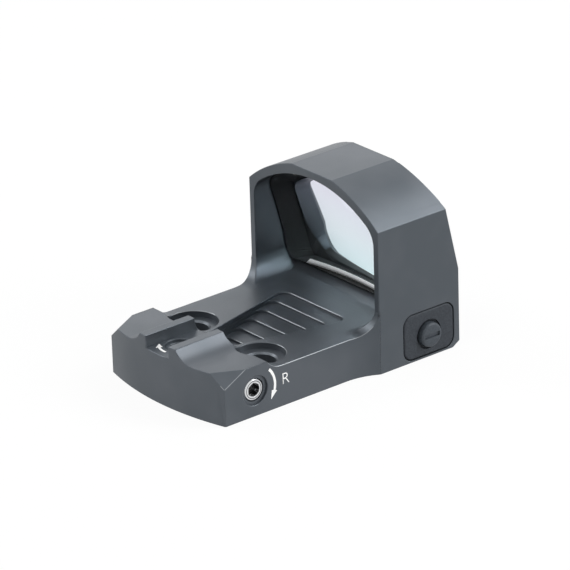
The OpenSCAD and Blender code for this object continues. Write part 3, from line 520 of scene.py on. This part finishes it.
def recutBrows(build):
    # each arched brow comes as slivers that shade in streaks, so it is made one face and cut anew
    for side in (-1, 1):
        bmesh.ops.dissolve_faces(build, faces=browFaces(build, side, brow["whole"]))
        for step in range(1, brow["strips"]):
            across = side * (ridgeX + (hoodX - ridgeX) * step / brow["strips"]) * mm
            strips = browFaces(build, side, brow["cut"])
            edges = {e for f in strips for e in f.edges}
            verts = {v for f in strips for v in f.verts}
            bmesh.ops.bisect_plane(build, geom=list(verts) + list(edges) + strips,
                                   plane_co=(across, 0, 0), plane_no=(1, 0, 0), dist=brow["snap"])


def onWindowRim(edge):
    # the edge between the hood's front face and the window's reveal
    if not edge.is_manifold or not edge.is_convex:
        return False
    x, y, z = edgeSpot(edge)
    if x > rim["insideX"] or not rim["lowZ"] < z < rim["highZ"] or y < rim["fromY"]:
        return False
    front, reveal = sorted(edge.link_faces, key=lambda f: -f.normal.y)
    middle = (edge.verts[0].co + edge.verts[1].co) / 2 / mm
    inward = reveal.normal.x * middle.x + reveal.normal.z * (z - rim["middleZ"])
    return front.normal.y > rim["forward"] and abs(reveal.normal.y) < rim["across"] and inward < 0


def onRidge(edge):
    # the crease on each side of the hood's flat top
    x, y, z = edgeSpot(edge)
    return (abs(x - ridgeX) < ridge["within"] and z > ridge["aboveZ"]
            and abs(edgeWay(edge).y) > ridge["along"])


def blackened(face):
    # the lip behind the glass and the flat of its sill, painted black against glare
    x, y, z = face.calc_center_median() / mm
    lip = face.normal.y < -black["facing"] and y > black["lipFromY"] and z > black["lipAboveZ"]
    sillLow, sillHigh = black["sillZ"]
    sill = face.normal.z > black["facing"] and y > black["sillFromY"] and sillLow < z < sillHigh
    return abs(x) < black["insideX"] and (lip or sill)


def chamfer(build, edges, width, material):
    # one flat face along each of the edges
    bmesh.ops.bevel(build, geom=edges, offset=width, offset_type="OFFSET", segments=1, profile=0.5,
                    affect="EDGES", material=material, clamp_overlap=False)
    build.normal_update()


def finishedHousing():
    build = cadBuild("housing", flattened=True)
    recutBrows(build)
    chamfer(build, [e for e in build.edges if onWindowRim(e)], housingLook["rimChamfer"], -1)
    for face in build.faces:
        face.material_index = blackSlot if blackened(face) else bodySlot
    # the chamfers on these edges get the lighter finish, a painted highlight
    chamfer(build, [e for e in build.edges if paintedHighlightEdge(e)], housingLook["paintedHighlightEdge"], highlightSlot)
    weight = build.edges.layers.float.new("bevel_weight_edge")
    for edge in build.edges:
        # edges beside the chamfers with a painted highlight stay sharp and unbroken
        besideHighlight = any(f.material_index == highlightSlot for f in edge.link_faces)
        edge.smooth = not (isSharp(edge) or besideHighlight or onRidge(edge))
        broken = isSharp(edge) and not besideHighlight
        edge[weight] = edgeBreak(edge) / housingLook["widest"] if broken else 0.0
    for face in build.faces:
        face.smooth = True
    piece = pieceOf(build, "finishedHousing")
    breakEdges(piece, housingLook["widest"])
    # the third slot holds the lighter finish that paints the edge highlights
    for material in (bodyFinish, sealFinish, paintedHighlightFinish):
        piece.data.materials.append(material)
    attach(piece, "sight")
    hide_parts("housing")
    return piece


housingPiece = finishedHousing()
print("housing finished")

# ---- small pieces with their edges broken ----

softLook = {
    # CAD node: (body, radius, how far from the key's axis the full radius starts)
    "left_button_pad": ("sight", 0.28 * mm, 2.5 * mm),
    "right_button_pad": ("sight", 0.28 * mm, 2.5 * mm),
    "windage_screw": ("windage_dial", 0.05 * mm, 0.0),
    "elevation_screw": ("elevation_dial", 0.05 * mm, 0.0),
    "battery_cap": ("cap", 0.08 * mm, 0.0),
    "bottom_cover": ("sight", 0.06 * mm, 0.0),
}
nearKeyShare = 0.2   # of the radius, on the edges nearer the key's axis


def softened(name):
    # a CAD piece with its outward edges rounded, as moulding or tumbling leaves them
    body, radius, fullFrom = softLook[name]
    build = cadBuild(name, flattened=True)
    weight = build.edges.layers.float.new("bevel_weight_edge")
    for edge in build.edges:
        middle = (edge.verts[0].co + edge.verts[1].co) / 2
        away = math.hypot(middle.y - keyAxis["y"], middle.z - keyAxis["z"])
        share = 1.0 if away > fullFrom else nearKeyShare
        edge.smooth = not isSharp(edge)
        edge[weight] = share if isSharp(edge) and edge.is_convex else 0.0
    for face in build.faces:
        face.smooth = True
    piece = pieceOf(build, name + "Finished")
    breakEdges(piece, radius)
    paint(piece, finishes[name])
    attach(piece, body)
    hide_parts(name)
    return piece


softPieces = {name: softened(name) for name in softLook}
print("small pieces finished")

# ---- take-up springs ----

springEnds = {
    # CAD node: (carriage that presses on it, axis that it shortens along, whether the pressed end
    # is the high one, degrees that the coil is turned so that its wire's end clears the slider)
    "windage_spring": ("windage_carriage", 0, False, 180),
    "elevation_spring": ("elevation_carriage", 2, True, 0),
}


def takeUpSpring(name):
    # a copy of the CAD spring, turned about its axis; where its pressed and its fixed end lie is worked out
    # but not used
    carriage, axis, pressedHigh, turned = springEnds[name]
    low, high = (Vector(corner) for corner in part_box(name))
    centre = (low + high) / 2
    mesh = nodes[name].data.copy()
    turn = Matrix.Rotation(math.radians(turned), 4, "XYZ"[axis])
    mesh.transform(Matrix.Translation(centre) @ turn @ Matrix.Translation(-centre))
    piece = bpy.data.objects.new(name + "Finished", mesh)
    bpy.context.scene.collection.objects.link(piece)
    paint(piece, finishes[name])
    pressed, fixed = centre.copy(), centre.copy()
    pressed[axis], fixed[axis] = (high[axis], low[axis]) if pressedHigh else (low[axis], high[axis])
    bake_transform(piece)
    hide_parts(name)
    return piece


for name in springEnds:
    takeUpSpring(name)
print("springs finished")

# ---- white marks ----

markLook = {"depth": 0.02 * mm, "lift": 0.004 * mm, "tipInside": math.cos(math.radians(3)),
            "letterBends": 6}
sideArrow = {"radius": 3.33 * mm, "width": 0.38 * mm, "from": 44.0, "to": -16.0, "head": 23.0,
             "headWidth": 0.92 * mm, "steps": 20}
notchArrow = {"radius": 3.0 * mm, "width": 0.34 * mm, "from": 8.0, "to": -26.0, "head": 23.0,
              "headWidth": 0.95 * mm, "steps": 12, "y": -16.5 * mm}
sideLetter = {"text": "R", "size": 2.35 * mm, "thinned": 0.03 * mm}


def arcArrow(look):
    # a curved arrow in the plane, turned about the origin, made of a swept strip and a head
    build = bmesh.new()
    start, end = math.radians(look["from"]), math.radians(look["to"])
    way = Vector((math.cos(start), math.sin(start), 0))
    inner = build.verts.new(way * (look["radius"] - look["width"] / 2))
    outer = build.verts.new(way * (look["radius"] + look["width"] / 2))
    edge = build.edges.new((inner, outer))
    bmesh.ops.spin(build, geom=[inner, outer, edge], cent=(0, 0, 0), axis=(0, 0, 1),
                   angle=end - start, steps=look["steps"], use_duplicate=False)
    tipAngle = end - math.radians(look["head"])
    foot = Vector((math.cos(end), math.sin(end), 0))
    tip = Vector((math.cos(tipAngle), math.sin(tipAngle), 0)) * look["radius"] / markLook["tipInside"]
    corners = [foot * (look["radius"] - look["headWidth"] / 2),
               foot * (look["radius"] + look["headWidth"] / 2), tip]
    build.faces.new([build.verts.new(c) for c in corners])
    bmesh.ops.recalc_face_normals(build, faces=build.faces)
    for face in build.faces:
        if face.normal.z < 0:
            face.normal_flip()
    return build


def letterShape(look):
    curve = bpy.data.curves.new("letter", "FONT")
    curve.body = look["text"]
    curve.size = look["size"]
    curve.offset = -look["thinned"]
    curve.align_x = "CENTER"
    curve.align_y = "CENTER"
    curve.resolution_u = markLook["letterBends"]
    shape = bpy.data.objects.new("letter", curve)
    bpy.context.scene.collection.objects.link(shape)
    bpy.context.view_layer.update()
    mesh = bpy.data.meshes.new_from_object(shape)
    build = bmesh.new()
    build.from_mesh(mesh)
    bpy.data.objects.remove(shape)
    bmesh.ops.remove_doubles(build, verts=build.verts, dist=mergeWithin)
    return build


def filledMark(name, build, spot, across, up):
    # thickens a flat drawing and lays it on a surface, its x along across and its y along up
    out = across.cross(up).normalized()
    extruded = bmesh.ops.extrude_face_region(build, geom=build.faces[:])
    bmesh.ops.translate(build, vec=(0, 0, markLook["depth"]), verts=newVerts(extruded))
    bmesh.ops.recalc_face_normals(build, faces=build.faces)
    lie = Matrix((across.normalized(), up.normalized(), out)).transposed().to_4x4()
    place = Matrix.Translation(spot + out * (markLook["lift"] - markLook["depth"] / 2)) @ lie
    bmesh.ops.transform(build, matrix=place, verts=build.verts)
    piece = pieceOf(build, name)
    paint(piece, paintFinish)
    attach(piece, "sight")
    return piece


forward, upward, rightward = Vector((0, 1, 0)), Vector((0, 0, 1)), Vector((1, 0, 0))
sideSpot = placeOn(housingPiece, *imagePoints["arcArrow"])
screwSpot = Vector((sideSpot.x, windageAxis[1], windageAxis[2]))
arrowPiece = filledMark("windageArrow", arcArrow(sideArrow), screwSpot, forward, upward)
letterSpot = placeOn(housingPiece, *imagePoints["letterR"])
letterPiece = filledMark("windageLetter", letterShape(sideLetter), letterSpot, forward, upward)
notchSpot = placeOn(housingPiece, *imagePoints["notchArrow"])
notchPiece = filledMark("elevationArrow", arcArrow(notchArrow), Vector((0, notchArrow["y"], notchSpot.z)),
                        -forward, rightward)
print("marks laid")

# ---- the cemented lens, as one body of glass ----

lensLook = {"overlap": 0.03 * mm, "inset": 0.03 * mm, "rimWithin": 0.6, "mergeWithin": 0.002 * mm}


def shiftedCopy(name, shift):
    # a merged copy of a CAD node in a temporary object
    build = cadBuild(name)
    bmesh.ops.translate(build, vec=(0, shift, 0), verts=build.verts)
    return pieceOf(build, name + "Copy")


def cementedLens():
    rear = shiftedCopy("lens_rear_element", 0)
    front = shiftedCopy("lens_front_element", -lensLook["overlap"])
    join = rear.modifiers.new("cement", "BOOLEAN")
    join.operation = "UNION"
    join.solver = "EXACT"
    join.object = front
    bpy.context.view_layer.update()
    joined = bpy.data.meshes.new_from_object(rear.evaluated_get(bpy.context.evaluated_depsgraph_get()))
    build = bmesh.new()
    build.from_mesh(joined)
    bmesh.ops.remove_doubles(build, verts=build.verts, dist=lensLook["mergeWithin"])
    build.normal_update()
    inward = [(v, v.normal.copy()) for v in build.verts]
    for vert, normal in inward:
        vert.co -= normal * lensLook["inset"]
    for edge in build.edges:
        edge.smooth = not isSharp(edge)
    for face in build.faces:
        face.smooth = True
    for copy in (rear, front):
        bpy.data.objects.remove(copy)
    piece = pieceOf(build, "cementedLens")
    paint(piece, glassFinish)
    piece.data.materials.append(edgeFinish)
    for polygon in piece.data.polygons:
        # the ground edge is blackened, the two polished faces are not
        polygon.material_index = 1 if abs(polygon.normal.y) < lensLook["rimWithin"] else 0
    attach(piece, "sight")
    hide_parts("lens_rear_element", "lens_front_element")
    return piece


lensPiece = cementedLens()
print("lens:", len(lensPiece.data.polygons), "faces")

# ---- ground strip under the lens ----

stripLook = {"top": 8.2 * mm, "from": -8.3 * mm, "slant": (-0.7, 0, 0.7), "out": 0.03 * mm,
             "thick": 0.05 * mm, "rearward": 0.7}


def groundStrip():
    # the rear face of the lens below a level, cut off slanting at its left end
    build = cadBuild("lens_rear_element")
    cuts = (((0, 0, stripLook["top"]), (0, 0, 1)),
            ((stripLook["from"], 0, stripLook["top"]), stripLook["slant"]))
    for place, way in cuts:
        bmesh.ops.bisect_plane(build, geom=build.verts[:] + build.edges[:] + build.faces[:],
                               plane_co=place, plane_no=way, clear_outer=True)
    bmesh.ops.delete(build, geom=[f for f in build.faces if f.normal.y > -stripLook["rearward"]],
                     context="FACES")
    bmesh.ops.translate(build, vec=(0, -stripLook["out"], 0), verts=build.verts)
    extruded = bmesh.ops.extrude_face_region(build, geom=build.faces[:])
    bmesh.ops.translate(build, vec=(0, -stripLook["thick"], 0), verts=newVerts(extruded))
    bmesh.ops.recalc_face_normals(build, faces=build.faces)
    piece = pieceOf(build, "lensGroundStrip")
    paint(piece, groundFinish)
    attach(piece, "sight")


groundStrip()
print("strip laid")

# ---- stage ----

stageLook = {"floor": "#efefef", "worldLight": 0.34, "floorShown": 0.93, "floorSize": 3,
             "floorZ": -0.05 * mm, "aim": (0, 0, 10 * mm), "white": (1, 1, 1, 1)}
softboxes = {
    # name: (place, size, power)
    "overheadSoftbox": ((0.20, 0.37, 0.47), 0.30, 1.65),
    "backSoftbox": ((-0.40, 0.42, 0.36), 0.45, 0.55),
    "windowSoftbox": ((0.42, 0.38, 0.28), 0.24, 1.8),
    "rearSoftbox": ((0.05, -0.50, 0.60), 0.40, 1.5),
    "leftSoftbox": ((-0.44, -0.25, 0.36), 0.25, 1.3),
}


def shownRays(material):
    # 1 for what the camera, a gloss or glass looks at, 0 for what only lights the object
    path = addNode(material, "ShaderNodeLightPath")
    first = addNode(material, "ShaderNodeMath", {"operation": "MAXIMUM"})
    second = addNode(material, "ShaderNodeMath", {"operation": "MAXIMUM"})
    links = material.node_tree.links
    links.new(path.outputs["Is Camera Ray"], first.inputs[0])
    links.new(path.outputs["Is Glossy Ray"], first.inputs[1])
    links.new(first.outputs[0], second.inputs[0])
    links.new(path.outputs["Is Transmission Ray"], second.inputs[1])
    return second.outputs[0]


def addArea(name, place, size, power):
    data = bpy.data.lights.new(name, "AREA")
    data.shape = "SQUARE"
    data.size = size
    data.energy = power
    lamp = bpy.data.objects.new(name, data)
    lamp.location = place
    lamp.rotation_euler = (Vector(place) - Vector(stageLook["aim"])).to_track_quat("Z", "Y").to_euler()
    bpy.context.scene.collection.objects.link(lamp)


def makeFloor():
    build = bmesh.new()
    bmesh.ops.create_grid(build, x_segments=1, y_segments=1, size=stageLook["floorSize"])
    floor = pieceOf(build, "floor")
    floor.location = (0, 0, stageLook["floorZ"])
    material = newMaterial("paleFloor")
    plain = addNode(material, "ShaderNodeBsdfDiffuse", values={"Color": hexColour(stageLook["floor"])})
    white = addNode(material, "ShaderNodeEmission", values={"Strength": 1.0})
    share = addNode(material, "ShaderNodeMath", {"operation": "MULTIPLY"})
    share.inputs[1].default_value = stageLook["floorShown"]
    material.node_tree.links.new(shownRays(material), share.inputs[0])
    mix = addNode(material, "ShaderNodeMixShader", links={"Fac": share.outputs[0]})
    material.node_tree.links.new(plain.outputs[0], mix.inputs[1])
    material.node_tree.links.new(white.outputs[0], mix.inputs[2])
    # from below the floor is clear, so the underside can be looked at
    clear = addNode(material, "ShaderNodeBsdfTransparent")
    below = addNode(material, "ShaderNodeNewGeometry")
    sided = addNode(material, "ShaderNodeMixShader", links={"Fac": below.outputs["Backfacing"]})
    material.node_tree.links.new(mix.outputs[0], sided.inputs[1])
    material.node_tree.links.new(clear.outputs[0], sided.inputs[2])
    finish(material, sided)
    paint(floor, material)


def makeWorld():
    world = bpy.data.worlds.new("studio")
    world.use_nodes = True
    world.node_tree.nodes.clear()
    output = world.node_tree.nodes.new("ShaderNodeOutputWorld")
    light = addNode(world, "ShaderNodeBackground",
                    values={"Color": stageLook["white"], "Strength": stageLook["worldLight"]})
    shown = addNode(world, "ShaderNodeBackground", values={"Color": stageLook["white"], "Strength": 1.0})
    mix = addNode(world, "ShaderNodeMixShader", links={"Fac": shownRays(world)})
    world.node_tree.links.new(light.outputs[0], mix.inputs[1])
    world.node_tree.links.new(shown.outputs[0], mix.inputs[2])
    world.node_tree.links.new(mix.outputs[0], output.inputs["Surface"])
    bpy.context.scene.world = world


makeFloor()
makeWorld()
for name, (place, size, power) in softboxes.items():
    addArea(name, place, size, power)
bpy.context.scene.view_settings.view_transform = "Standard"
print("stage lit")

# ---- where the shown vertices of each marked thing fall in the photo's frame ----

boreLook = {"radius": 3.7, "low": 5.5}   # in mm
seenWithin = 0.2 * mm


def shownVerts(obj, within=None):
    # where the finished vertices of an object fall in the photo, those that nothing hides
    graph = bpy.context.evaluated_depsgraph_get()
    done = obj.evaluated_get(graph)
    mesh = done.to_mesh()
    eye = camera.matrix_world.translation
    shown = []
    for vert in mesh.vertices:
        spot = done.matrix_world @ vert.co
        if within and not within(spot):
            continue
        hit, place = bpy.context.scene.ray_cast(graph, eye, (spot - eye).normalized())[:2]
        if not hit or (place - eye).length > (spot - eye).length - seenWithin:
            shown.append(toPixel(spot))
    done.to_mesh_clear()
    return shown


def onBore(spot):
    away = math.hypot(spot.x / mm - mountHole["x"], spot.y / mm - mountHole["y"])
    return spot.z / mm > boreLook["low"] and away < boreLook["radius"]


def writePoints():
    housing = shownVerts(housingPiece)
    outline = housing + shownVerts(softPieces["right_button_pad"]) + shownVerts(nodes["right_button_key"])
    xs, ys = zip(*outline)
    edges = {"leftEdge": min(xs), "rightEdge": max(xs), "topEdge": min(ys), "bottomEdge": max(ys)}
    middles = {"windageScrew": shownVerts(softPieces["windage_screw"]),
               "rightKey": shownVerts(nodes["right_button_key"]),
               "letterR": shownVerts(letterPiece), "arcArrow": shownVerts(arrowPiece),
               "notchArrow": shownVerts(notchPiece), "rightMountHole": shownVerts(housingPiece, onBore)}
    for name, point in imagePoints.items():
        if name in edges:
            continue


writePoints()
